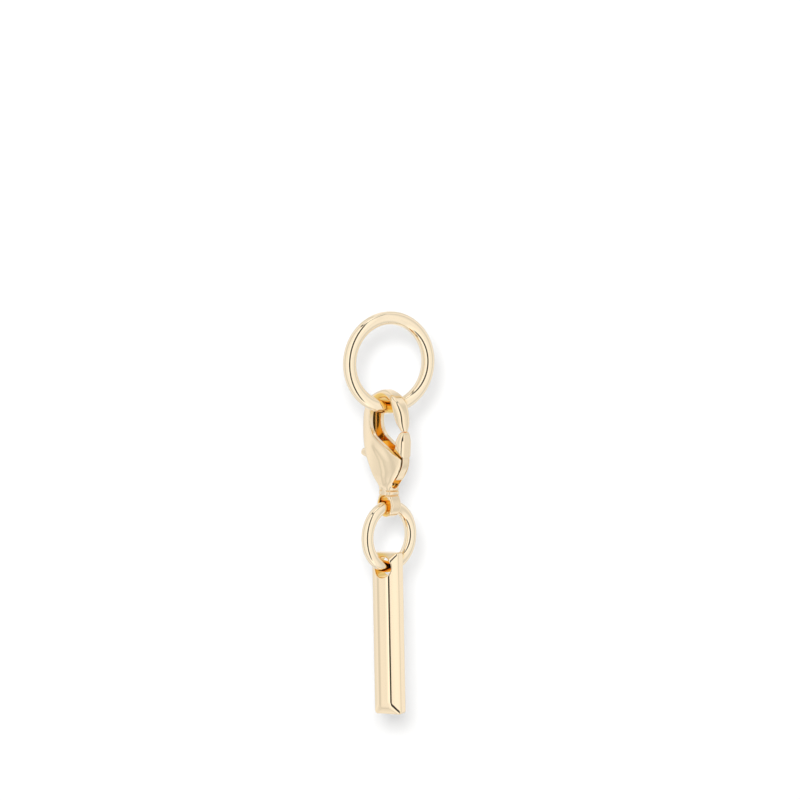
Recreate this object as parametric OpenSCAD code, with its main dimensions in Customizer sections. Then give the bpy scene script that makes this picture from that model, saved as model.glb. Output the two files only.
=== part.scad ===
// Letter charm: a plain ring, a lobster clasp, a jump ring and a bevelled bar letter,
// hanging in one line. The origin is the inside top of the large ring, where it hangs.
// The front of the letter faces -Y, and +Z is up.

/* [Large ring] */
// Outer diameter of the large ring
ring_od = 20; // [16:0.5:26]
// Wire diameter of the large ring
ring_wire = 2.6; // [2:0.1:3]
// Turn of the large ring about the vertical, from the letter's front
ring_turn = -33; // [-36:1:-28]

/* [Clasp] */
// Thickness of the clasp through its two side plates
clasp_t = 4.2; // [3.8:0.1:4.6]
// Radius that each side plate is crowned to, across the clasp
crown_r = 21; // [18:1:40]
// Turn of the clasp about the vertical, from the letter's front
clasp_turn = -24; // [-27:1:-21]
// Width of the slot that the lever lies in
slot_w = 1.9; // [1.6:0.1:2.1]
// Thickness of the lever in the slot
lever_t = 1.5; // [1.2:0.1:1.6]
// Thickness of the gate, above the side plates
gate_t = 3.0; // [2.8:0.1:3.2]
// Diameter of the lever's pivot pin
pin_d = 1.1; // [0.9:0.1:1.3]
// Radius of the hole in the clasp's eye
eye_r = 1.75; // [1.7:0.01:1.8]
// Wall of the eye, across its ring
eye_wall = 0.68; // [0.6:0.02:0.9]
// Thickness of the eye, along its hole
eye_t = 2.4; // [1.8:0.1:2.5]

/* [Jump ring] */
// Outer diameter of the jump ring
jump_od = 14.2; // [13:0.1:16]
// Wire diameter of the jump ring
jump_wire = 2.35; // [2:0.05:2.5]
// Turn of the jump ring about the vertical, from the letter's front
jump_turn = -17; // [-20:1:-12]

/* [Letter] */
// Width of the letter's bar
letter_w = 5.85; // [5:0.05:8]
// Height of the letter's bar
letter_h = 31.9; // [25:0.1:40]
// Depth of the letter's bar, front to back
letter_d = 3.6; // [3:0.1:4]
// Width of the bevel round the front face
bevel_run = 1.9; // [1.2:0.05:2.3]
// How far the bevel falls back from the front face
bevel_rise = 1.43; // [0.6:0.01:1.6]
// Diameter of the hole for the jump ring
hole_d = 4.0; // [3.7:0.1:4.2]
// Distance of the hole's centre from the top of the bar
hole_drop = 2.85; // [2.7:0.05:3.6]
// Width that the hole's rims are eased by
rim_ease = 0.35; // [0.2:0.05:0.4]
// Lean of the bar as it hangs, its foot towards +X
letter_lean = 1.2; // [0:0.1:2]
// Shift of the bar in X and Y, as it rests a little off the lowest point of the jump ring
letter_shift = [-0.3, -0.65]; // [-0.3:0.05:0]

/* [Hidden] */
$fn = 64;

// Heights, from the origin down the chain
ring_mid_r = (ring_od - ring_wire) / 2;
ring_z = -(ring_mid_r - ring_wire / 2);
ring_foot_z = ring_z - ring_mid_r;
eye_z = -35.19;
eye_seat_gap = 0.26;
jump_mid_r = (jump_od - jump_wire) / 2;
jump_top_z = eye_z - eye_r + eye_seat_gap + jump_wire / 2;
jump_z = jump_top_z - jump_mid_r;
jump_foot_z = jump_z - jump_mid_r;
hole_below_wire = 0.04;
hole_z = jump_foot_z - hole_below_wire;
letter_top_z = hole_z + hole_drop;

// Clasp, seen from its front: x towards the gate, z up
pivot = [3.5, -27.4];
gate_r = 6.9;
nose_gap = 0.2;
slot_foot_z = -30.9;
pin_under = 0.25;
// Where the side plates' crown is highest, across the clasp
crown_x = -1;
// Outer outline of the body, clockwise from the top of the hook
body_points = [[-1.0, -12.7], [1.7, -13.2], [3.9, -14.8], [5.1, -16.7], [5.5, -18.8], [5.45, -21.0],
    [5.5, -24.0], [5.45, -26.6], [4.6, -28.4], [2.9, -30.3], [1.75, -31.9], [1.7, -33.0],
    [-1.75, -33.0], [-1.85, -31.9], [-2.9, -30.3], [-4.5, -27.9], [-6.1, -25.4], [-6.95, -22.8],
    [-7.1, -19.8], [-6.5, -16.8], [-4.5, -14.2]];
// Window of the hook, clockwise from the middle of its roof
window_points = [[-0.7, -14.15], [1.1, -14.55], [2.4, -15.9], [3.1, -18.2], [3.9, -20.0], [4.3, -22.0],
    [4.3, -24.9], [3.2, -24.9], [1.2, -23.8], [-0.9, -22.75], [-2.8, -21.55], [-3.75, -19.8],
    [-3.6, -17.3], [-2.5, -15.2]];
// Edge of the plates under the gate, from inside the window to the corner on the gate side
plate_edge = [[2.4, -24.46], [5.8, -26.3]];
// Foot of the thick part of the gate, which clears the plates as the lever turns
gate_foot = [[2.0, -20.6], [4.1, -23.95], [4.95, -25.4], [5.9, -26.0]];
// Half thickness of the hook's nose at each height, down to its tip
nose_rows = [[-16.2, 1.75], [-18.9, 1.4], [-20.0, 0.95], [-20.9, 0.6]];
// Half thickness of the gate at each height, from its tip, as a share of its full half
gate_rows = [[-20.4, 0.55], [-21.2, 0.72], [-22.6, 1.0], [-27.0, 1.0]];
// Half thickness of the body at each height, from the top of the hook down to the neck
side_rows = [[-12.5, 1.3], [-13.4, 1.5], [-15.5, 1.8], [-18, 2.1], [-27, 2.1], [-29.5, 1.95],
    [-31.4, 1.5], [-32.4, 1.15], [-33.0, 1.15]];
// Lever and gate, clockwise from the gate's tip
lever_points = [[4.9, -20.7], [5.45, -21.15], [5.6, -22.5], [5.45, -24.9], [5.3, -27.0], [4.4, -28.6],
    [3.0, -30.2], [1.7, -29.4], [0.2, -28.2], [-2.4, -27.2], [-5.2, -26.6], [-7.0, -26.4],
    [-8.3, -25.9], [-8.0, -24.8], [-6.3, -24.5], [-3.4, -24.8], [-0.4, -25.1], [1.7, -25.1],
    [2.9, -23.6], [3.9, -21.5]];
curve_steps = 4;

// A point of the smooth closed curve through four neighbouring points
function curve_point(a, b, c, d, t) =
    0.5 * ((2 * b) + (c - a) * t + (2 * a - 5 * b + 4 * c - d) * t * t
    + (3 * b - a - 3 * c + d) * t * t * t);

// The smooth closed curve through all the points of an outline
function closed_curve(p) = [for (i = [0:len(p) - 1], s = [0:curve_steps - 1])
    curve_point(p[(i + len(p) - 1) % len(p)], p[i], p[(i + 1) % len(p)], p[(i + 2) % len(p)],
        s / curve_steps)];

// A front outline of the clasp made a plate of thickness t
module front_plate(points, t) {
    rotate([90, 0, 0]) linear_extrude(t, center = true) polygon(points);
}

// A ring of round wire whose plane holds the Z axis and the Y axis
module wire_ring(mid_r, wire) {
    rotate([0, 90, 0]) rotate_extrude() translate([mid_r, 0]) circle(d = wire);
}

// A long round-ended shape, w by d
module round_ended(w, d) {
    square([w - d, d], center = true);
    for (s = [-1, 1]) translate([s * (w - d) / 2, 0]) circle(d = d);
}

// The clasp's outer form before it is cut: crowned plates that thin towards hook and neck
module clasp_form() {
    intersection() {
        front_plate(closed_curve(body_points), clasp_t);
        clasp_crown(-1);
        clasp_crown(1);
        side_profile([for (r = side_rows) [r[1], r[0]]]);
    }
}

// One crowned face: everything inside a large upright cylinder
module clasp_crown(side) {
    translate([crown_x, side * (crown_r - clasp_t / 2), -40])
        cylinder(r = crown_r, h = 35, $fn = 128);
}

// Everything within a profile seen from the clasp's side, from its half thickness at each height
module side_profile(half) {
    outline = concat(half, [for (i = [len(half) - 1:-1:0]) [-half[i][0], half[i][1]]]);
    rotate([90, 0, 90]) linear_extrude(30, center = true) polygon(outline);
}

// What is cut from one face of the hook's nose, so that it thins towards its tip
module nose_taper(side) {
    rows = [for (r = nose_rows) [side * r[1], r[0]]];
    past = side * clasp_t;
    translate([1.9, 0, 0]) rotate([90, 0, 90]) linear_extrude(6)
        polygon(concat(rows, [[past, rows[len(rows) - 1][1]], [past, rows[0][1]]]));
}

// Everything above an edge that runs from the window to the gate side
module above_edge(edge, t) {
    last = edge[len(edge) - 1];
    front_plate(concat(edge, [[last[0] + 4, last[1]], [last[0] + 4, -18], [edge[0][0], -18]]), t);
}

// The space of the gate, open to the gate side, up to the nose of the hook
module gate_space() {
    intersection() {
        above_edge(plate_edge, 2 * clasp_t);
        translate([pivot[0], 0, pivot[1]]) rotate([90, 0, 0])
            cylinder(r = gate_r + nose_gap, h = 3 * clasp_t, center = true, $fn = 128);
    }
}

// The slot between the plates, and the channel up the inside of the spine
module lever_slot() {
    front_plate([[-5.3, -17.0], [-5.3, -23.3], [-10, -23.3], [-10, slot_foot_z], [8, slot_foot_z],
        [8, -21.5], [0, -20], [-3.2, -16.6]], slot_w);
    translate([0.9, 0, slot_foot_z - 0.2]) rotate([0, 90, 0]) cylinder(d = slot_w * 0.85, h = 5);
}

module large_ring() {
    color("#ead9b4") rotate([0, 0, ring_turn]) translate([0, 0, ring_z])
        wire_ring(ring_mid_r, ring_wire);
}

module clasp_body() {
    color("#ecd9b6") rotate([0, 0, clasp_turn]) {
        difference() {
            clasp_form();
            front_plate(closed_curve(window_points), 3 * clasp_t);
            gate_space();
            lever_slot();
            nose_taper(-1);
            nose_taper(1);
            pivot_bore(pin_d);
        }
        clasp_collar();
        clasp_eye();
    }
}

// The hole for the pin, which stops short of the outer faces
module pivot_bore(d) {
    depth = 2 * (clasp_t / 2 - pow(pivot[0] - crown_x, 2) / (2 * crown_r) - pin_under);
    translate([pivot[0], 0, pivot[1]]) rotate([90, 0, 0]) cylinder(d = d, h = depth, center = true);
}

// The neck and the raised collar between body and eye
module clasp_collar() {
    translate([0, 0, -33.6]) linear_extrude(1.2) square([3.2, 2.2], center = true);
    translate([0, 0, -33.2]) linear_extrude(0.65) square([3.5, 2.6], center = true);
}

// The fixed eye, a ring with rounded faces whose hole runs front to back
module clasp_eye() {
    translate([0, 0, eye_z]) rotate([90, 0, 0]) rotate_extrude()
        translate([eye_r + eye_wall / 2, 0]) rotate(90) round_ended(eye_t, eye_wall);
}

module clasp_lever() {
    color("#f0debb") rotate([0, 0, clasp_turn]) difference() {
        union() {
            front_plate(closed_curve(lever_points), lever_t);
            gate();
        }
        translate([pivot[0], 0, pivot[1]]) rotate([90, 0, 0])
            cylinder(d = pin_d + 0.1, h = 2 * clasp_t, center = true);
    }
}

// The thicker gate, only where it stands clear above the side plates, thinning to its tip
module gate() {
    intersection() {
        front_plate(closed_curve(lever_points), gate_t);
        above_edge(gate_foot, 2 * gate_t);
        side_profile([for (r = gate_rows) [r[1] * gate_t / 2, r[0]]]);
    }
}

module pivot_pin() {
    color("#c9b48a") rotate([0, 0, clasp_turn]) pivot_bore(pin_d - 0.04);
}

module jump_ring() {
    color("#ead9b4") rotate([0, 0, jump_turn]) translate([0, 0, jump_z])
        wire_ring(jump_mid_r, jump_wire);
}

// The bar's cross-section from above, front towards -Y, for a bar of width w
module bevel_section(w) {
    f = -letter_d / 2;
    polygon([[-w / 2, -f], [-w / 2, f + bevel_rise], [-w / 2 + bevel_run, f],
        [w / 2 - bevel_run, f], [w / 2, f + bevel_rise], [w / 2, -f]]);
}

module letter_bar() {
    color("#efdab4") translate([letter_shift[0], letter_shift[1], hole_z])
        rotate([0, -letter_lean, 0]) translate([0, 0, -hole_z]) difference() {
            intersection() {
                translate([0, 0, letter_top_z - letter_h]) linear_extrude(letter_h)
                    bevel_section(letter_w);
                translate([0, 0, letter_top_z - letter_h / 2]) rotate([0, 90, 0])
                    linear_extrude(2 * letter_w, center = true) bevel_section(letter_h);
            }
            translate([0, 0, hole_z]) rotate([90, 0, 0]) {
                cylinder(d = hole_d, h = 2 * letter_d, center = true);
                for (side = [0, 180]) rotate([side, 0, 0]) translate([0, 0, letter_d / 2 - rim_ease])
                    cylinder(d1 = hole_d, d2 = hole_d + 2 * rim_ease, h = rim_ease + 0.01);
            }
        }
}

large_ring();
clasp_body();
clasp_lever();
pivot_pin();
jump_ring();
letter_bar();
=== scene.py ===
"""The letter charm dressed for its photograph: a plain ring, a lobster clasp, a jump ring and a
bevelled bar letter, all in polished pale gold plate, hanging in front of a white sweep."""

import math

import bpy
import numpy as np
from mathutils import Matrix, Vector


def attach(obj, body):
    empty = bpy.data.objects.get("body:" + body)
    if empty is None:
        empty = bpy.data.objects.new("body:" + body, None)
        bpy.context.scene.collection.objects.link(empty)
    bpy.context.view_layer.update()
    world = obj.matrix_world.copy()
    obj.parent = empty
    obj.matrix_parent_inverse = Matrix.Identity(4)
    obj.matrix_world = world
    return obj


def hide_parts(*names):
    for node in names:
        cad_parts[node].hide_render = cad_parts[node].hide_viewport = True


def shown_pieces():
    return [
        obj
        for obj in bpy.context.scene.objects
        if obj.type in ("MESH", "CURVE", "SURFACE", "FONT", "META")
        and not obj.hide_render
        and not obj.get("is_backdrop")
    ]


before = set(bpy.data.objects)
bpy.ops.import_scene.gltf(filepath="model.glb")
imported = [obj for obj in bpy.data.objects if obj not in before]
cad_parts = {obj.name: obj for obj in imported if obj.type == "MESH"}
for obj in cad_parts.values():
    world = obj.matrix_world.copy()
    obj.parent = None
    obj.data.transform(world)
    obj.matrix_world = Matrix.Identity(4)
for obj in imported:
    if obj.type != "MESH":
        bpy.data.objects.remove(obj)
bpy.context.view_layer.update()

# Sizes of the real pieces, in millimetres, as in the part's source
MM = 0.001
RING_OD, RING_WIRE, RING_TURN = 20.0, 2.6, -33.0
JUMP_OD, JUMP_WIRE, JUMP_TURN = 14.2, 2.35, -17.0
CLASP_T, CROWN_R, CROWN_X, CLASP_TURN = 4.2, 21.0, -1.0, -24.0
SLOT_W, LEVER_T, GATE_T, PIN_D = 1.9, 1.5, 3.0, 1.1
EYE_R, EYE_WALL, EYE_T, EYE_Z, EYE_SEAT_GAP = 1.75, 0.68, 2.4, -35.19, 0.26
LETTER_W, LETTER_H, LETTER_D, LETTER_LEAN = 5.85, 31.9, 3.6, 1.2
BEVEL_RUN, BEVEL_RISE, HOLE_D, HOLE_DROP = 1.9, 1.43, 4.0, 2.85
HOLE_BELOW_WIRE, LETTER_SHIFT = 0.04, (-0.3, -0.65)

# Heights down the chain, from the inside top of the large ring
ring_mid_r = (RING_OD - RING_WIRE) / 2
ring_z = -(ring_mid_r - RING_WIRE / 2)
jump_mid_r = (JUMP_OD - JUMP_WIRE) / 2
jump_z = EYE_Z - EYE_R + EYE_SEAT_GAP + JUMP_WIRE / 2 - jump_mid_r
hole_z = jump_z - jump_mid_r - HOLE_BELOW_WIRE

# Outlines of the clasp seen from its front, x towards the gate and z up
PIVOT = (3.5, -27.4)
GATE_R, NOSE_GAP, SLOT_FOOT_Z = 6.9, 0.15, -30.9
BODY_POINTS = [(-1.0, -12.7), (1.7, -13.2), (3.9, -14.8), (5.1, -16.7), (5.5, -18.8),
               (5.45, -21.0), (5.5, -24.0), (5.45, -26.6), (4.6, -28.4), (2.9, -30.3),
               (1.75, -31.9), (1.7, -33.0), (-1.75, -33.0), (-1.85, -31.9), (-2.9, -30.3),
               (-4.5, -27.9), (-6.1, -25.4), (-6.95, -22.8), (-7.1, -19.8), (-6.5, -16.8),
               (-4.5, -14.2)]
WINDOW_POINTS = [(-0.7, -14.15), (1.1, -14.55), (2.4, -15.9), (3.1, -18.2), (3.9, -20.0),
                 (4.3, -22.0), (4.3, -24.9), (3.2, -24.9), (1.2, -23.8), (-0.9, -22.75),
                 (-2.8, -21.55), (-3.75, -19.8), (-3.6, -17.3), (-2.5, -15.2)]
LEVER_POINTS = [(4.9, -20.67), (5.5, -21.08), (5.6, -22.5), (5.45, -24.9), (5.3, -27.0),
                (4.4, -28.6), (3.0, -30.2), (1.7, -29.4), (0.2, -28.2), (-2.4, -27.2),
                (-5.2, -26.6), (-7.0, -26.4), (-8.3, -25.9), (-8.0, -24.8), (-6.3, -24.5),
                (-3.4, -24.8), (-0.4, -25.1), (1.7, -25.1), (2.9, -23.6), (3.9, -21.5)]
PLATE_EDGE = [(2.4, -24.46), (5.8, -26.3), (9.8, -26.3), (9.8, -18.0), (2.4, -18.0)]
GATE_FOOT = [(2.0, -20.6), (4.1, -23.95), (4.95, -25.4), (5.9, -26.0), (9.9, -26.0),
             (9.9, -18.0), (2.0, -18.0)]
SLOT_POINTS = [(-5.3, -17.0), (-5.3, -23.3), (-10, -23.3), (-10, SLOT_FOOT_Z), (8, SLOT_FOOT_Z),
               (8, -21.5), (0, -20), (-3.2, -16.6)]

# Tables of heights from the top down: half the clasp's thickness, half the nose's, and the gate's
# share of its full thickness
SIDE_ROWS = [(-12.5, 1.3), (-13.4, 1.5), (-15.5, 1.8), (-18, 2.1), (-27, 2.1), (-29.5, 1.95),
             (-31.4, 1.5), (-32.4, 1.15), (-33.0, 1.15)]
NOSE_ROWS = [(-14.5, 2.3), (-16.2, 1.75), (-18.9, 1.4), (-20.0, 0.95), (-20.9, 0.6)]
GATE_ROWS = [(-20.4, 0.55), (-21.2, 0.72), (-22.6, 1.0), (-27.0, 1.0)]

# Where the nose's table holds, how softly two limits of thickness blend, and a length beyond the
# clasp's reach
NOSE_X, NOSE_Z, LIMIT_BLEND, FAR = 1.9, -21.2, 0.3, 9.0

# The plates' soft ridge, and the valley beside it: its depth, where it falls and rises again beside
# the ridge, and where it fades out at its foot and its top
RIDGE_Z, RIDGE_X = (-31.6, -28.5, -26.5, -24.0), (0.0, 0.1, -0.6, -3.0)
VALLEY_DEPTH, VALLEY_FALL, VALLEY_RISE = 0.26, (-0.3, 1.1), (1.3, 4.4)
VALLEY_FOOT, VALLEY_TOP = (-32.0, -30.5), (22.5, 25.5)

# The clasp's neck, the strips along its sides and the grooves of its collar. Each size is half the
# width, thickness and height.
NECK_Z, NECK_SIZE = -32.9, (1.6, 1.1, 1.0)
STRIP_X, STRIP_Z, STRIP_SIZE = 1.1, -33.0, (0.64, 1.28, 1.3)
GROOVE_Z, GROOVE_APART, GROOVE_HALF, GROOVE_END, GROOVE_BED = -32.875, 0.455, 0.11, 0.7, (1.56, 1.12)

# The slot's round foot, the pin's bore, and where three roundings change: from the window's to the
# hook's, from the nub's to the blade's, and from the gate's to its tip's
FOOT_DROP, FOOT_R, FOOT_X = 0.2, 0.425 * SLOT_W, 0.9
BORE_HALF, BORE_PLAY = 1.3, 0.05
HOOK_X, HOOK_Z, NUB_X, TIP_Z = (-1.5, 1.5), (-22.0, -20.0), (-6.8, -6.2), (-22.6, -20.9)

# Radii of the clasp's rounded edges and fillets
PLATE_ROUND, WINDOW_ROUND, HOOK_ROUND, SEAT_ROUND = 0.85, 0.3, 0.9, 0.16
NECK_ROUND, NECK_FILLET, STRIP_ROUND, STRIP_END_ROUND = 0.3, 0.3, 0.35, 0.4
EYE_ROUND, EYE_FILLET, GROOVE_ROUND, SLOT_ROUND, FOOT_FILLET = 0.2, 0.35, 0.05, 0.12, 0.1
GATE_ROUND, TIP_ROUND, GATE_FOOT_ROUND, GATE_FILLET = 0.85, 0.4, 0.2, 0.25
BLADE_ROUND, NUB_ROUND, BORE_ROUND = 0.12, 0.62, 0.03

# The letter's slight crowns, its rounded edges, and the hole's narrowing and slant along the wire
BEVEL_CROWN, FRONT_CROWN, FLAT_HALF = 0.042, 0.01, 1.03
RIDGE_ROUND, FOOT_RIDGE_ROUND, CORNER_ROUND = 0.3, 0.5, 0.6
WALL_ROUND, BACK_ROUND, RIM_ROUND = 0.2, 0.4, 0.25
HOLE_NARROW, HOLE_SLANT = 0.89, 0.08

# Heights above the surface at which a point's openness is read
OPEN_HEIGHTS = (0.6, 1.2, 2.0, 3.0)

# Grids that the cast forms are worked out on, each with its lowest and highest corner and its step.
# The corners are set off from the forms' own planes, so that no grid point lies on one.
CLASP_GRID = (-7.6, -2.4, -38.005), (5.9, 2.4, -12.3), 0.1
LEVER_GRID = (-8.73, -1.83, -30.33), (6.0, 1.8, -20.3), 0.1
LETTER_GRID = (-3.2, -2.1, -16.3), (3.2, 2.1, 16.3), 0.09

# Camera: its angles in degrees, its distance in metres, and in the photograph the millimetres a
# pixel, the width, and where the chain's axis and the frame's origin lie
CAMERA_AZIMUTH, CAMERA_ELEVATION, CAMERA_DISTANCE = 28.0, 5.0, 0.8
PHOTO_SCALE = 0.1946
FRAME_PX, AXIS_PX, ORIGIN_PX = 800, 389.0, 324.6

# The white paper, and the lamp beside the camera: its size and its place, in metres, and its power
PAPER_TONE, PAPER_ROUGHNESS = (0.82, 0.82, 0.82), 0.9
LAMP_SIZE, LAMP_LEFT, LAMP_UP, LAMP_POWER = 0.06, 0.012, 0.024, 3.2

# The light tent, in degrees round from the camera and above it. A width or height is half of the
# form and then its soft edge.
GAP_WIDTH, GAP_HEIGHT, GAP_DEPTH = (10, 4), (58, 12), 0.96
BAR_AT, BAR_WIDTH, BAR_LENGTH = 67, (1.5, 1.5), (75, 20)
PANEL_WAVES, PANEL_GAIN, TENT_LEVEL, TENT_TONE = 6.0, 0.125, 0.885, (1.0, 0.995, 0.985)

# Upright bands of the tent, each with where it is, its width and what it adds: the broad one ahead,
# the bright strip left of the gap, and the shade on the gap's right edge
TENT_BANDS = [(0, (32, 22), 0.33), (-19, (2, 3), 0.15), (15, (0.5, 5), -0.12)]

# Gold: each finish drifts between two tones; recesses get painted shade, deep orange for gold-to-gold
# reflection
PLATE_TONES = (0.93, 0.785, 0.55), (0.94, 0.77, 0.56)
RING_TONES = (0.95, 0.82, 0.59), (0.95, 0.8, 0.61)
PIN_TONES = (0.8, 0.66, 0.45), (0.8, 0.66, 0.45)
# Painted shade and reflection: the orange that recesses are painted towards
PAINTED_RECESS_SHADE = (0.95, 0.64, 0.2)


def turned(points, degrees):
    """Points turned about the Z axis by an angle in degrees, with a matrix of its cosine and sine."""
    a = math.radians(degrees)
    turn = np.array([[math.cos(a), math.sin(a), 0], [-math.sin(a), math.cos(a), 0], [0, 0, 1]])
    return points @ turn


def mesh_object(name, points, faces):
    """A smooth-shaded object at the origin from points in millimetres and faces of four corners."""
    mesh = bpy.data.meshes.new(name)
    mesh.vertices.add(len(points))
    mesh.vertices.foreach_set("co", (points * MM).astype(np.float32).ravel())
    mesh.loops.add(faces.size)
    mesh.loops.foreach_set("vertex_index", faces.astype(np.int32).ravel())
    mesh.polygons.add(len(faces))
    mesh.polygons.foreach_set("loop_start", np.arange(0, faces.size, 4, dtype=np.int32))
    mesh.update(calc_edges=True)
    mesh.polygons.foreach_set("use_smooth", np.ones(len(faces), dtype=bool))
    mesh.validate()
    piece = bpy.data.objects.new(name, mesh)
    bpy.context.scene.collection.objects.link(piece)
    return piece


def wire_ring(name, mid_r, wire_r, height, turn):
    """A ring of round wire on a closed grid: one parameter runs round the ring, the other round the
    wire, so a point is the ring's centre plus (mid radius + wire radius times the cosine) outwards
    and wire radius times the sine sideways."""
    around, across = 256, 48
    u = np.linspace(0, 2 * np.pi, around, endpoint=False)[:, None]
    v = np.linspace(0, 2 * np.pi, across, endpoint=False)[None, :]
    out = mid_r + wire_r * np.cos(v)
    points = np.stack([np.broadcast_to(wire_r * np.sin(v), (around, across)),
                       out * np.cos(u), out * np.sin(u) + height], axis=-1).reshape(-1, 3)
    i = np.arange(around)[:, None] * across
    i_next = (np.arange(around)[:, None] + 1) % around * across
    j = np.arange(across)[None, :]
    j_next = (j + 1) % across
    faces = np.stack([i + j, i_next + j, i_next + j_next, i + j_next], axis=-1).reshape(-1, 4)
    return mesh_object(name, turned(points, turn), faces)


def closed_curve(points, steps=8):
    """The smooth closed curve through all the points: each stretch is a cubic of the four points
    nearest to it."""
    p = np.array(points, dtype=float)
    a, b, c, d = (np.roll(p, k, axis=0)[:, None, :] for k in (1, 0, -1, -2))
    t = (np.arange(steps) / steps)[None, :, None]
    curve = 0.5 * (2 * b + (c - a) * t + (2 * a - 5 * b + 4 * c - d) * t ** 2
                   + (3 * b - a - 3 * c + d) * t ** 3)
    return curve.reshape(-1, 2)


def outline_distance(outline, x, z):
    """Signed distance to a closed outline, below zero inside: the nearest of its edges gives the
    size, and the number of edges crossed towards +x gives the side."""
    outline = np.asarray(outline, dtype=float)
    nearest = np.full(np.broadcast_shapes(x.shape, z.shape), 1e9)
    inside = np.zeros(nearest.shape, dtype=bool)
    for (ax, az), (bx, bz) in zip(outline, np.roll(outline, -1, axis=0)):
        ex, ez = bx - ax, bz - az
        along = np.clip(((x - ax) * ex + (z - az) * ez) / (ex * ex + ez * ez), 0, 1)
        nearest = np.minimum(nearest, (x - ax - along * ex) ** 2 + (z - az - along * ez) ** 2)
        if ez:
            crossed = ((az > z) != (bz > z)) & (x < ex * (z - az) / ez + ax)
            inside ^= crossed
    distance = np.sqrt(nearest)
    return np.where(inside, -distance, distance)


def joined(a, b, r):
    """Union of two distance fields with a fillet of radius r between them: the lesser field, and
    where both are below r, r less the root of the summed squares of what each lacks of r."""
    return np.maximum(r, np.minimum(a, b)) - np.hypot(np.maximum(r - a, 0), np.maximum(r - b, 0))


def common(a, b, r):
    """Intersection of two distance fields whose shared edge is rounded to radius r: their union with
    every sign turned."""
    return -joined(-a, -b, r)


def blend_in(value, low, high):
    """A smooth rise from 0 at low to 1 at high: three squares of the share of the way less two
    cubes of it."""
    t = np.clip((value - low) / (high - low), 0, 1)
    return t * t * (3 - 2 * t)


def surface_of(name, field, low, high, step, turn=0.0, place=None):
    """The surface where a distance field is zero. The field is sampled on a grid, each cell that the
    surface passes gets a point at the mean of its edge crossings, each crossed grid edge gets a
    face between its four cells, and then every point slides down the field's slope onto the
    surface."""
    axes = [np.arange(a, b + step, step) for a, b in zip(low, high)]
    value = field(axes[0][:, None, None], axes[1][None, :, None], axes[2][None, None, :])
    inside = value < 0
    n = value.shape
    cell = tuple(k - 1 for k in n)
    total, count = np.zeros(cell + (3,)), np.zeros(cell)
    for axis in range(3):
        first = [slice(None)] * 3
        last = [slice(None)] * 3
        first[axis], last[axis] = slice(0, -1), slice(1, None)
        va, vb = value[tuple(first)], value[tuple(last)]
        cross = inside[tuple(first)] != inside[tuple(last)]
        part = np.where(cross, va / np.where(cross, va - vb, 1), 0)
        others = [k for k in range(3) if k != axis]
        for s in (0, 1):
            for t in (0, 1):
                pick = [slice(None)] * 3
                pick[others[0]] = slice(s, s + cell[others[0]])
                pick[others[1]] = slice(t, t + cell[others[1]])
                hit = cross[tuple(pick)]
                count += hit
                total[..., axis] += part[tuple(pick)] * hit
                total[..., others[0]] += s * hit
                total[..., others[1]] += t * hit
    used = count > 0
    number = np.full(cell, -1)
    number[used] = np.arange(used.sum())
    corner = np.stack(np.nonzero(used), axis=-1)
    points = (corner + total[used] / count[used][:, None]) * step + np.array(low)
    faces = []
    for axis in range(3):
        first = [slice(1, -1)] * 3
        last = [slice(1, -1)] * 3
        first[axis], last[axis] = slice(0, -1), slice(1, None)
        a_in, b_in = inside[tuple(first)], inside[tuple(last)]
        at = np.stack(np.nonzero(a_in != b_in), axis=-1)
        outward = a_in[tuple(at.T)]
        at = at + np.array([0 if k == axis else 1 for k in range(3)])
        u, v = np.zeros(3, dtype=int), np.zeros(3, dtype=int)
        u[(axis + 1) % 3], v[(axis + 2) % 3] = 1, 1
        quad = np.stack([number[tuple((at - du * u - dv * v).T)]
                         for du, dv in ((1, 1), (0, 1), (0, 0), (1, 0))], axis=-1)
        faces.append(np.where(outward[:, None], quad, quad[:, ::-1]))
    points = slide_onto(field, points, step)
    if place:
        points = place(points)
    return mesh_object(name, turned(points, turn), np.concatenate(faces))


def slope_of(field, points, reach):
    """The field's value and slope at each point, the slope as the difference between small steps
    both ways over their length."""
    x, y, z = points.T
    slope = np.stack([field(x + reach, y, z) - field(x - reach, y, z),
                      field(x, y + reach, z) - field(x, y - reach, z),
                      field(x, y, z + reach) - field(x, y, z - reach)], axis=-1) / (2 * reach)
    return field(x, y, z), slope


def slide_onto(field, points, step):
    """Points moved onto the surface in three rounds, each down the field's slope by its value over
    the slope's square."""
    rounds, nudge, least_square = 3, 0.05, 0.2
    for _ in range(rounds):
        value, slope = slope_of(field, points, step * nudge)
        move = value / np.maximum((slope ** 2).sum(axis=1), least_square)
        move = np.clip(move, -step, step)
        points = points - move[:, None] * slope
    return points


def rows_at(rows, z):
    """The value of a table of heights, listed from the top, at each z, in straight lines between
    its rows."""
    heights, values = zip(*reversed(rows))
    return np.interp(z, heights, values)


def soft_least(a, b, reach):
    """The lesser of two values, and where they are within reach of each other, less the square of
    what their difference lacks of the reach over four reaches."""
    return np.minimum(a, b) - np.maximum(reach - np.abs(a - b), 0) ** 2 / (4 * reach)


def plate_valley(x, z):
    """Depth of the shallow valley beside the soft ridge, which runs from the spine's middle down to
    the neck: a product of smooth rises, a quick fall on the gate side of the ridge, a slow rise
    after it, and a fade at its foot and its top."""
    beside = x - np.interp(z, RIDGE_Z, RIDGE_X)
    reach = blend_in(z, *VALLEY_FOOT) * blend_in(-z, *VALLEY_TOP)
    across = blend_in(beside, *VALLEY_FALL) * (1 - blend_in(beside, *VALLEY_RISE))
    return VALLEY_DEPTH * reach * across


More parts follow.
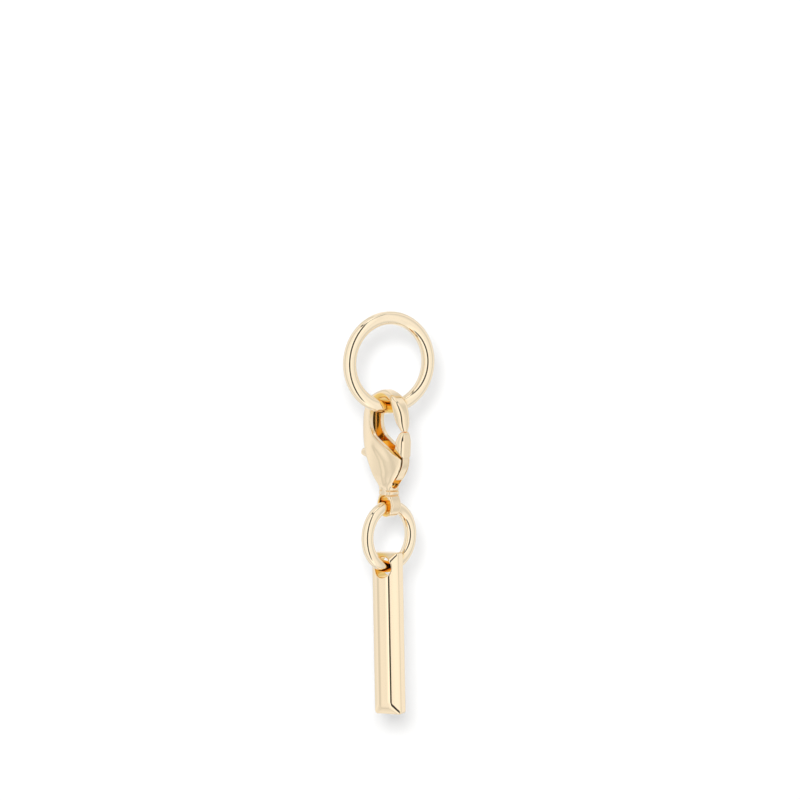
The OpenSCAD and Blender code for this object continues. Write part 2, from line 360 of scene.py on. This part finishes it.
def half_thickness(x, z):
    """Half the clasp's thickness: an arc of a large circle across, limited by the tables towards the
    hook's top, the neck and the nose's tip, less the valley."""
    from_crown = np.clip(x, -FAR, FAR) - CROWN_X
    crown = CLASP_T / 2 - CROWN_R + np.sqrt(CROWN_R ** 2 - from_crown ** 2)
    body = soft_least(crown, rows_at(SIDE_ROWS, z), LIMIT_BLEND) - plate_valley(x, z)
    nose = np.where((x > NOSE_X) & (z > NOSE_Z), rows_at(NOSE_ROWS, z), FAR)
    return soft_least(body, nose, LIMIT_BLEND)


def neck_field(x, y, z):
    """The neck with a thicker strip down each side, the eye, and the two grooves that cut a raised
    collar into the strips. Neck, strips and grooves are boxes, each the greatest of its sides'
    distances. The eye is a ring whose section is a flat with round ends: the distance from the
    flat's middle line less half the wall."""
    out, thick = np.abs(x), np.abs(y)
    neck = np.maximum(out - NECK_SIZE[0], np.abs(z - NECK_Z) - NECK_SIZE[2])
    neck = common(neck, thick - NECK_SIZE[1], NECK_ROUND)
    strip = common(np.abs(out - STRIP_X) - STRIP_SIZE[0], thick - STRIP_SIZE[1], STRIP_ROUND)
    strip = common(strip, np.abs(z - STRIP_Z) - STRIP_SIZE[2], STRIP_END_ROUND)
    neck = joined(neck, strip, NECK_FILLET)
    r = EYE_WALL / 2
    across = np.abs(np.hypot(x, z - EYE_Z) - (EYE_R + r))
    eye = np.hypot(across, np.maximum(thick - EYE_T / 2 + r, 0)) - r
    bed = np.maximum(out - GROOVE_BED[0], thick - GROOVE_BED[1])
    cut = np.abs(np.abs(z - GROOVE_Z) - GROOVE_APART) - GROOVE_HALF
    grooves = np.maximum(np.maximum(cut, -bed), GROOVE_END - out)
    return neck, eye, grooves


def clasp_body_field(x, y, z):
    """Plates, spine and hook from one crowned form with rounded edges, less the window, the room for
    the gate and the lever's slot with its round foot, and the neck, the eye and the pin's bore."""
    face = np.abs(y) - half_thickness(x, z)
    form = common(outline_distance(body_curve, x, z), face, PLATE_ROUND)
    window = -outline_distance(window_curve, x, z)
    hook = blend_in(x, *HOOK_X) * blend_in(z, *HOOK_Z)
    rounding = WINDOW_ROUND + (HOOK_ROUND - WINDOW_ROUND) * hook
    form = np.maximum(form, common(window, face, rounding))
    from_pivot = np.hypot(x - PIVOT[0], z - PIVOT[1])
    gate_space = np.maximum(outline_distance(PLATE_EDGE, x, z), from_pivot - GATE_R - NOSE_GAP)
    form = common(form, -gate_space, SEAT_ROUND)
    neck, eye, grooves = neck_field(x, y, z)
    form = joined(form, neck, NECK_FILLET)
    form = joined(form, eye, EYE_FILLET)
    form = common(form, -grooves, GROOVE_ROUND)
    form = common(form, EYE_R - np.hypot(x, z - EYE_Z), EYE_ROUND)
    slot = np.maximum(outline_distance(SLOT_POINTS, x, z), np.abs(y) - SLOT_W / 2)
    foot = np.maximum(np.hypot(y, z - SLOT_FOOT_Z + FOOT_DROP) - FOOT_R, FOOT_X - x)
    form = common(form, -joined(slot, foot, FOOT_FILLET), SLOT_ROUND)
    bore = np.maximum(from_pivot - PIN_D / 2, np.abs(y) - BORE_HALF)
    return common(form, -bore, BORE_ROUND)


def lever_field(x, y, z):
    """The blade in the slot with its nub, and the thicker gate above the plates, less the bore that
    turns on the pin with a little play."""
    outline = outline_distance(lever_curve, x, z)
    nub = 1 - blend_in(x, *NUB_X)
    rounding = BLADE_ROUND + (NUB_ROUND - BLADE_ROUND) * nub
    blade = common(outline, np.abs(y) - LEVER_T / 2, rounding)
    gate = common(outline, outline_distance(GATE_FOOT, x, z), GATE_FOOT_ROUND)
    rounding = GATE_ROUND - (GATE_ROUND - TIP_ROUND) * blend_in(z, *TIP_Z)
    gate = common(gate, np.abs(y) - rows_at(GATE_ROWS, z) * GATE_T / 2, rounding)
    bore = np.hypot(x - PIVOT[0], z - PIVOT[1]) - PIN_D / 2 - BORE_PLAY
    return common(joined(blade, gate, GATE_FILLET), -bore, BORE_ROUND)


def letter_field(x, y, z):
    """The bar: side walls, ends and back, a front face with bevels all round, both crowned by a
    parabola across, softly rounded ridges, and the hole with eased rims, an ellipse whose middle
    moves sideways with depth. Heights are from the bar's middle."""
    slant = math.hypot(BEVEL_RUN, BEVEL_RISE)
    front = -y - LETTER_D / 2

    def crown(u, height):
        """Rise of a parabola that is 0 at -1 and at 1 and has its height in the middle."""
        return height * (1 - np.clip(u, -1, 1) ** 2)

    def bevel(along, half):
        """Distance to the crowned bevel at the edge that lies half a width or height out."""
        middle = (along - half + BEVEL_RUN / 2) / (BEVEL_RUN / 2)
        plane = ((along - half + BEVEL_RUN) * BEVEL_RISE + front * BEVEL_RUN) / slant
        return plane - crown(middle, BEVEL_CROWN)

    side = np.abs(x) - LETTER_W / 2
    end = np.abs(z) - LETTER_H / 2
    flat = front - crown(x / FLAT_HALF, FRONT_CROWN)
    form = common(flat, bevel(np.abs(x), LETTER_W / 2), RIDGE_ROUND)
    rounding = np.where(z > 0, RIDGE_ROUND, FOOT_RIDGE_ROUND)
    form = common(form, bevel(np.abs(z), LETTER_H / 2), rounding)
    form = common(form, common(side, end, CORNER_ROUND), WALL_ROUND)
    form = common(form, y - LETTER_D / 2, BACK_ROUND)
    across = (x - HOLE_SLANT * y) / HOLE_NARROW
    hole = HOLE_D / 2 - np.hypot(across, z - LETTER_H / 2 + HOLE_DROP)
    return common(form, hole, RIM_ROUND)


def hang_letter(points):
    """Moves the bar from its own middle to its place: a turn about its hole by the small lean, with
    its cosine and sine, and then the shift."""
    a = math.radians(LETTER_LEAN)
    x, y, z = points.T
    z = z - (LETTER_H / 2 - HOLE_DROP)
    return np.stack([x * math.cos(a) - z * math.sin(a) + LETTER_SHIFT[0], y + LETTER_SHIFT[1],
                     x * math.sin(a) + z * math.cos(a) + hole_z], axis=-1)


def unhang_letter(points):
    """Undoes hang_letter, for points in the world: back by the shift, and then the turn the other
    way."""
    a = math.radians(LETTER_LEAN)
    x, y, z = points.T
    x, z = x - LETTER_SHIFT[0], z - hole_z
    return np.stack([x * math.cos(a) + z * math.sin(a), y - LETTER_SHIFT[1],
                     z * math.cos(a) - x * math.sin(a) + LETTER_H / 2 - HOLE_DROP], axis=-1)


def ring_field(points, mid_r, wire_r, height, turn):
    """Distance to a ring of round wire: from the point to the ring's middle circle, less the wire's
    radius."""
    x, y, z = turned(points, -turn).T
    return np.hypot(np.hypot(y, z - height) - mid_r, x) - wire_r


def nearest_piece(points):
    """Distance from points in the world to the nearest of all the pieces, each worked out only
    between the two heights where it matters."""
    fields = [
        (-11.0, -39.0, lambda p: clasp_body_field(*turned(p, -CLASP_TURN).T)),
        (-19.0, -32.0, lambda p: lever_field(*turned(p, -CLASP_TURN).T)),
        (-43.0, -90.0, lambda p: letter_field(*unhang_letter(p).T)),
        (5.0, -20.0, lambda p: ring_field(p, ring_mid_r, RING_WIRE / 2, ring_z, RING_TURN)),
        (-32.0, -52.0, lambda p: ring_field(p, jump_mid_r, JUMP_WIRE / 2, jump_z, JUMP_TURN))]
    nearest = np.full(len(points), FAR)
    for top, foot, field in fields:
        at = (points[:, 2] < top) & (points[:, 2] > foot)
        if at.any():
            nearest[at] = np.minimum(nearest[at], field(points[at]))
    return nearest


def mark_recesses(piece):
    """Writes how shut in each point is to the piece's attribute "recess", which drives the painted
    recess
    shade: the distance to the nearest piece is read at a few heights above the surface, and the least
    share of open height is taken from 1."""
    mesh = piece.data
    points, normals = np.empty(len(mesh.vertices) * 3), np.empty(len(mesh.vertices) * 3)
    mesh.vertices.foreach_get("co", points)
    mesh.vertex_normals.foreach_get("vector", normals)
    points, normals = points.reshape(-1, 3) / MM, normals.reshape(-1, 3)
    open_share = np.ones(len(points))
    for height in OPEN_HEIGHTS:
        above = nearest_piece(points + normals * height)
        open_share = np.minimum(open_share, np.clip(above / height, 0, 1))
    recess = mesh.attributes.new("recess", "FLOAT", "POINT")
    recess.data.foreach_set("value", 1 - open_share)


def link(tree, out_socket, in_socket):
    """Joins two sockets."""
    tree.links.new(out_socket, in_socket)


def new_group(name, inputs, outputs):
    """A shader node group with named float inputs and named outputs."""
    group = bpy.data.node_groups.new(name, "ShaderNodeTree")
    for label, default in inputs:
        socket = group.interface.new_socket(name=label, in_out="INPUT", socket_type="NodeSocketFloat")
        socket.default_value = default
    for label, kind in outputs:
        group.interface.new_socket(name=label, in_out="OUTPUT", socket_type=kind)
    return group, group.nodes.new("NodeGroupInput"), group.nodes.new("NodeGroupOutput")


def math_node(tree, operation, a, b=None):
    """A Math node fed by sockets or plain numbers."""
    node = tree.nodes.new("ShaderNodeMath")
    node.operation = operation
    for slot, value in enumerate((a, b)):
        if value is None:
            continue
        if isinstance(value, (int, float)):
            node.inputs[slot].default_value = value
        else:
            link(tree, value, node.inputs[slot])
    return node.outputs[0]


def polish_group():
    """Fine polish: hairline scratches in two directions, each a noise stretched one way and raised to
    a power, and a slow waviness of the plate."""
    sharpness, hair_relief, long_way = 4.0, 0.35, 0.06
    group, given, made = new_group(
        "polish marks",
        [("Hairline Scale", 900.0), ("Wave Scale", 120.0), ("Haze", 0.04), ("Gloss", 0.06)],
        [("Roughness", "NodeSocketFloat"), ("Height", "NodeSocketFloat")])
    place = group.nodes.new("ShaderNodeTexCoord").outputs["Object"]
    lines = []
    for turn, stretch in ((0.4, (1.0, 1.0, long_way)), (1.2, (long_way, 1.0, 1.0))):
        mapping = group.nodes.new("ShaderNodeMapping")
        mapping.inputs["Rotation"].default_value = (turn, turn * 0.5, turn)
        mapping.inputs["Scale"].default_value = stretch
        link(group, place, mapping.inputs["Vector"])
        noise = group.nodes.new("ShaderNodeTexNoise")
        link(group, mapping.outputs[0], noise.inputs["Vector"])
        link(group, given.outputs["Hairline Scale"], noise.inputs["Scale"])
        noise.inputs["Detail"].default_value = 4.0
        lines.append(math_node(group, "POWER", noise.outputs[0], sharpness))
    hair = math_node(group, "ADD", *lines)
    wave = group.nodes.new("ShaderNodeTexNoise")
    link(group, place, wave.inputs["Vector"])
    link(group, given.outputs["Wave Scale"], wave.inputs["Scale"])
    wave.inputs["Detail"].default_value = 2.0
    marks = math_node(group, "ADD", hair, wave.outputs[0])
    haze = math_node(group, "MULTIPLY", marks, given.outputs["Haze"])
    link(group, math_node(group, "ADD", haze, given.outputs["Gloss"]), made.inputs["Roughness"])
    raised = math_node(group, "MULTIPLY", hair, hair_relief)
    link(group, math_node(group, "ADD", raised, wave.outputs[0]), made.inputs["Height"])
    return group


def plate_tone_group():
    """A slow drift of the plate's colour, as a mask around one half between its two tones."""
    group, given, made = new_group("plate tone", [("Drift Scale", 90.0), ("Drift", 0.5)],
                                   [("Mask", "NodeSocketFloat")])
    noise = group.nodes.new("ShaderNodeTexNoise")
    link(group, group.nodes.new("ShaderNodeTexCoord").outputs["Object"], noise.inputs["Vector"])
    link(group, given.outputs["Drift Scale"], noise.inputs["Scale"])
    noise.inputs["Detail"].default_value = 3.0
    spread = math_node(group, "MULTIPLY", math_node(group, "SUBTRACT", noise.outputs[0], 0.5),
                       given.outputs["Drift"])
    link(group, math_node(group, "ADD", spread, 0.5), made.inputs["Mask"])
    return group


def painted_recess_shade_group():
    """Painted shade and gold-to-gold reflection for recesses, where light reaches the gold only by
    way of
    other gold: a smooth rise of the points' "recess" from one limit to another."""
    group, given, made = new_group("painted recess shade", [("Start", 0.3), ("Full", 0.95)],
                                   [("Mask", "NodeSocketFloat")])
    shut_in = group.nodes.new("ShaderNodeAttribute")
    shut_in.attribute_name = "recess"
    ramp = group.nodes.new("ShaderNodeMapRange")
    ramp.interpolation_type = "SMOOTHSTEP"
    link(group, shut_in.outputs["Fac"], ramp.inputs["Value"])
    link(group, given.outputs["Start"], ramp.inputs["From Min"])
    link(group, given.outputs["Full"], ramp.inputs["From Max"])
    link(group, ramp.outputs[0], made.inputs["Mask"])
    return group


def mix_colours(tree, mask, first, second):
    """A Mix node from a first colour, plain or a socket, to a plain second one."""
    node = tree.nodes.new("ShaderNodeMix")
    node.data_type = "RGBA"
    link(tree, mask, node.inputs["Factor"])
    if isinstance(first, tuple):
        node.inputs["A"].default_value = (*first, 1)
    else:
        link(tree, first, node.inputs["A"])
    node.inputs["B"].default_value = (*second, 1)
    return node.outputs["Result"]


def gold_plate(name, tones, gloss, haze, bump):
    """Polished gold plate: a tone that drifts between two, with painted shade, a deep orange, in
    recesses, a near-mirror gloss and fine polish marks."""
    material = bpy.data.materials.new(name)
    material.use_nodes = True
    tree = material.node_tree
    shader = tree.nodes["Principled BSDF"]
    shader.inputs["Metallic"].default_value = 1.0
    placed = {}
    for label, group in GROUPS.items():
        placed[label] = tree.nodes.new("ShaderNodeGroup")
        placed[label].node_tree = group
    polish = placed["polish"]
    polish.inputs["Gloss"].default_value = gloss
    polish.inputs["Haze"].default_value = haze
    plate = mix_colours(tree, placed["tone"].outputs["Mask"], *tones)
    # Painted shade: recesses are mixed towards the deep orange that stands for shade and reflected
    # gold
    plate = mix_colours(tree, placed["recess"].outputs["Mask"], plate, PAINTED_RECESS_SHADE)
    link(tree, plate, shader.inputs["Base Color"])
    link(tree, polish.outputs["Roughness"], shader.inputs["Roughness"])
    relief = tree.nodes.new("ShaderNodeBump")
    relief.inputs["Strength"].default_value = bump
    relief.inputs["Distance"].default_value = 0.02 * MM
    link(tree, polish.outputs["Height"], relief.inputs["Height"])
    link(tree, relief.outputs["Normal"], shader.inputs["Normal"])
    return material


def view_axes():
    """Unit vectors of the photograph's view, from the camera's azimuth and elevation: towards the
    camera, to the right, and up."""
    a, e = math.radians(CAMERA_AZIMUTH), math.radians(CAMERA_ELEVATION)
    back = np.array([math.sin(a) * math.cos(e), -math.cos(a) * math.cos(e), math.sin(e)])
    right = np.array([math.cos(a), math.sin(a), 0.0])
    return back, right, np.cross(back, right)


def make_camera():
    """The camera at the photograph's angle, aimed so that the chain lies where the photograph has
    it."""
    back, right, up = view_axes()
    data = bpy.data.cameras.new("camera")
    data.sensor_width = 36.0
    data.lens = data.sensor_width * CAMERA_DISTANCE / (FRAME_PX * PHOTO_SCALE * MM)
    aim = (right * (FRAME_PX / 2 - AXIS_PX) - up * (FRAME_PX / 2 - ORIGIN_PX)) * PHOTO_SCALE * MM
    camera = bpy.data.objects.new("camera", data)
    bpy.context.scene.collection.objects.link(camera)
    camera.location = aim + back * CAMERA_DISTANCE
    camera.rotation_mode = "QUATERNION"
    camera.rotation_quaternion = Vector(-back).to_track_quat("-Z", "Y")
    bpy.context.scene.camera = camera


def make_sweep():
    """A white sweep, sized in metres: floor in front, a quarter round behind, and a wall close behind
    the charm. A profile of distance behind the charm and height is carried sideways. It is clear from
    behind, and the gold mirrors the tent in its place."""
    wall, floor_z, bend, reach, front, top = 0.06, -0.15, 0.04, 2.5, 0.3, 1.6
    azimuth = math.radians(CAMERA_AZIMUTH)
    a = np.linspace(0, np.pi / 2, 17)
    behind = np.concatenate([[-front], wall - bend + bend * np.sin(a), [wall]])
    height = np.concatenate([[floor_z], floor_z + bend - bend * np.cos(a), [top]])
    _, right, _ = view_axes()
    away = np.array([-math.sin(azimuth), math.cos(azimuth), 0])
    sides = np.array([-reach, reach])
    points = (behind[:, None, None] * away + sides[None, :, None] * right
              + height[:, None, None] * np.array([0, 0, 1.0])).reshape(-1, 3)
    i = np.arange(len(behind) - 1)[:, None] * 2
    faces = (i + np.array([0, 1, 3, 2])[None, :]).reshape(-1, 4)
    sweep = mesh_object("sweep", points / MM, faces)
    sweep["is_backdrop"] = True
    material = bpy.data.materials.new("white paper")
    material.use_nodes = True
    tree = material.node_tree
    paper = tree.nodes["Principled BSDF"]
    paper.inputs["Base Color"].default_value = (*PAPER_TONE, 1)
    paper.inputs["Roughness"].default_value = PAPER_ROUGHNESS
    paper.inputs["Specular IOR Level"].default_value = 0.0
    clear = tree.nodes.new("ShaderNodeBsdfTransparent")
    side = tree.nodes.new("ShaderNodeMixShader")
    link(tree, tree.nodes.new("ShaderNodeNewGeometry").outputs["Backfacing"], side.inputs[0])
    link(tree, paper.outputs[0], side.inputs[1])
    link(tree, clear.outputs[0], side.inputs[2])
    link(tree, side.outputs[0], tree.nodes["Material Output"].inputs["Surface"])
    sweep.data.materials.append(material)
    sweep.visible_glossy = False


def smooth_mask(tree, value, half, soft):
    """1 where an angle lies within half of zero, falling to 0 over soft, both in degrees."""
    node = tree.nodes.new("ShaderNodeMapRange")
    node.interpolation_type = "SMOOTHSTEP"
    link(tree, math_node(tree, "ABSOLUTE", value), node.inputs["Value"])
    node.inputs["From Min"].default_value = math.radians(half)
    node.inputs["From Max"].default_value = math.radians(half) + math.radians(soft)
    node.inputs["To Min"].default_value = 1.0
    node.inputs["To Max"].default_value = 0.0
    return node.outputs[0]


def make_tent():
    """A white light tent all round, with the dark opening that the camera looks through, as a narrow
    upright gap, and a thin dark bar high above it. Its white is brighter ahead than behind, waves a
    little in panels, and has a bright strip left of the gap and a shade on the gap's right edge."""
    world = bpy.data.worlds.new("tent")
    bpy.context.scene.world = world
    world.use_nodes = True
    tree = world.node_tree
    split = tree.nodes.new("ShaderNodeSeparateXYZ")
    mapping = tree.nodes.new("ShaderNodeMapping")
    mapping.inputs["Rotation"].default_value = (0, 0, -math.radians(CAMERA_AZIMUTH))
    link(tree, tree.nodes.new("ShaderNodeTexCoord").outputs["Generated"], mapping.inputs["Vector"])
    link(tree, mapping.outputs[0], split.inputs[0])
    x, y, z = split.outputs
    azimuth = math_node(tree, "ARCTAN2", x, math_node(tree, "MULTIPLY", y, -1.0))
    elevation = math_node(tree, "ARCSINE", z)
    gap = math_node(tree, "MULTIPLY", smooth_mask(tree, azimuth, *GAP_WIDTH),
                    smooth_mask(tree, elevation, *GAP_HEIGHT))
    high = math_node(tree, "SUBTRACT", elevation, math.radians(BAR_AT))
    bar = math_node(tree, "MULTIPLY", smooth_mask(tree, high, *BAR_WIDTH),
                    smooth_mask(tree, azimuth, *BAR_LENGTH))
    dark = math_node(tree, "MULTIPLY", math_node(tree, "MAXIMUM", gap, bar), GAP_DEPTH)
    waves = math_node(tree, "COSINE", math_node(tree, "MULTIPLY", azimuth, PANEL_WAVES))
    white = math_node(tree, "ADD", math_node(tree, "MULTIPLY", waves, PANEL_GAIN), TENT_LEVEL)
    for at, width, gain in TENT_BANDS:
        beside = math_node(tree, "SUBTRACT", azimuth, math.radians(at))
        part = math_node(tree, "MULTIPLY", smooth_mask(tree, beside, *width), gain)
        white = math_node(tree, "ADD", white, part)
    level = math_node(tree, "MULTIPLY", white, math_node(tree, "SUBTRACT", 1.0, dark))
    background = tree.nodes["Background"]
    background.inputs["Color"].default_value = (*TENT_TONE, 1)
    link(tree, level, background.inputs["Strength"])


def make_shadow_light():
    """A soft light close beside the camera, up and to its left, for the charm's soft shadow on the
    wall."""
    data = bpy.data.lights.new("shadow light", "AREA")
    data.size = LAMP_SIZE
    data.energy = LAMP_POWER
    lamp = bpy.data.objects.new("shadow light", data)
    bpy.context.scene.collection.objects.link(lamp)
    back, right, up = view_axes()
    place = back * CAMERA_DISTANCE - right * LAMP_LEFT + up * LAMP_UP
    lamp.location = place
    lamp.rotation_mode = "QUATERNION"
    lamp.rotation_quaternion = Vector(-place).to_track_quat("-Z", "Y")
    lamp.visible_glossy = False


def dress(piece, node, body, material):
    """Puts a finished piece in a node's place."""
    piece.data.materials.append(material)
    mark_recesses(piece)
    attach(piece, body)
    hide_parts(node)


body_curve = closed_curve(BODY_POINTS)
window_curve = closed_curve(WINDOW_POINTS)
lever_curve = closed_curve(LEVER_POINTS)

make_camera()
make_sweep()
make_tent()
make_shadow_light()

GROUPS = {"polish": polish_group(), "tone": plate_tone_group(), "recess": painted_recess_shade_group()}
ring_gold = gold_plate("polished ring gold", RING_TONES, gloss=0.05, haze=0.04, bump=0.25)
clasp_gold = gold_plate("cast clasp gold", PLATE_TONES, gloss=0.07, haze=0.05, bump=0.35)
letter_gold = gold_plate("polished letter gold", PLATE_TONES, gloss=0.05, haze=0.04, bump=0.25)
pin_metal = gold_plate("plain pin metal", PIN_TONES, gloss=0.2, haze=0.1, bump=0.4)

ring = wire_ring("ring_wire", ring_mid_r, RING_WIRE / 2, ring_z, RING_TURN)
jump = wire_ring("jump_wire", jump_mid_r, JUMP_WIRE / 2, jump_z, JUMP_TURN)
clasp = surface_of("clasp_cast", clasp_body_field, *CLASP_GRID, turn=CLASP_TURN)
lever = surface_of("lever_cast", lever_field, *LEVER_GRID, turn=CLASP_TURN)
letter = surface_of("letter_i", letter_field, *LETTER_GRID, place=hang_letter)

dress(ring, "large_ring", "ring", ring_gold)
dress(jump, "jump_ring", "link", ring_gold)
dress(clasp, "clasp_body", "clasp", clasp_gold)
dress(lever, "clasp_lever", "lever", clasp_gold)
dress(letter, "letter_bar", "letter", letter_gold)
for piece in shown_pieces():
    if piece.name.startswith("pivot_pin"):
        for slot in piece.material_slots:
            slot.material = pin_metal

bpy.context.scene.view_settings.view_transform = "Standard"
